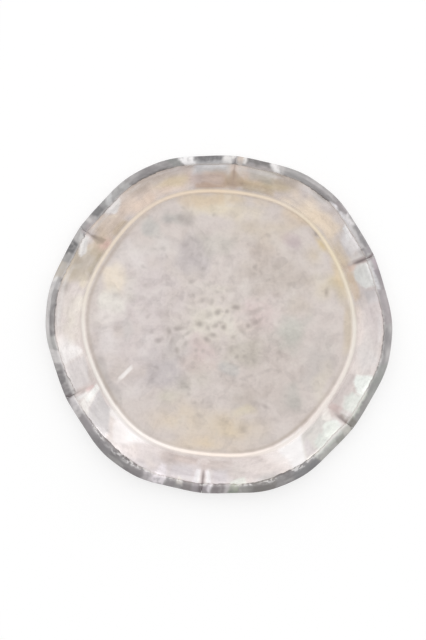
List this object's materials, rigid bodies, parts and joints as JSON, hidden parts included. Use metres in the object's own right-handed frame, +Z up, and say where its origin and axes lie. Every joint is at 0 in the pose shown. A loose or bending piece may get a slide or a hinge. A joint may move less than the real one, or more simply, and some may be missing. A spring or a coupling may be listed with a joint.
{
  "type": "paten plate",
  "caption": "Shallow lobed church plate with a flat well, a raised bead round it, a creased flange and an applied convex border; it holds the bread on an altar.",
  "frame": {"origin": "centre of the flat underside that the plate rests on", "axes": "+Z up out of the dish; +Y through one crease of the flange; +X through the middle of a lobe"},
  "size_m": [0.16, 0.157, 0.0099],
  "materials": {
    "plated_sheet": "satin, worn silver plate over a copper alloy, warm tarnish",
    "border_metal": "soft grey tin alloy, hammered and rubbed"
  },
  "bodies": {
    "root": {"dish": "plated_sheet", "border_length_1": "border_metal", "border_length_2": "border_metal", "border_length_3": "border_metal", "border_length_4": "border_metal", "border_length_5": "border_metal", "border_length_6": "border_metal"}
  },
  "joints": []
}
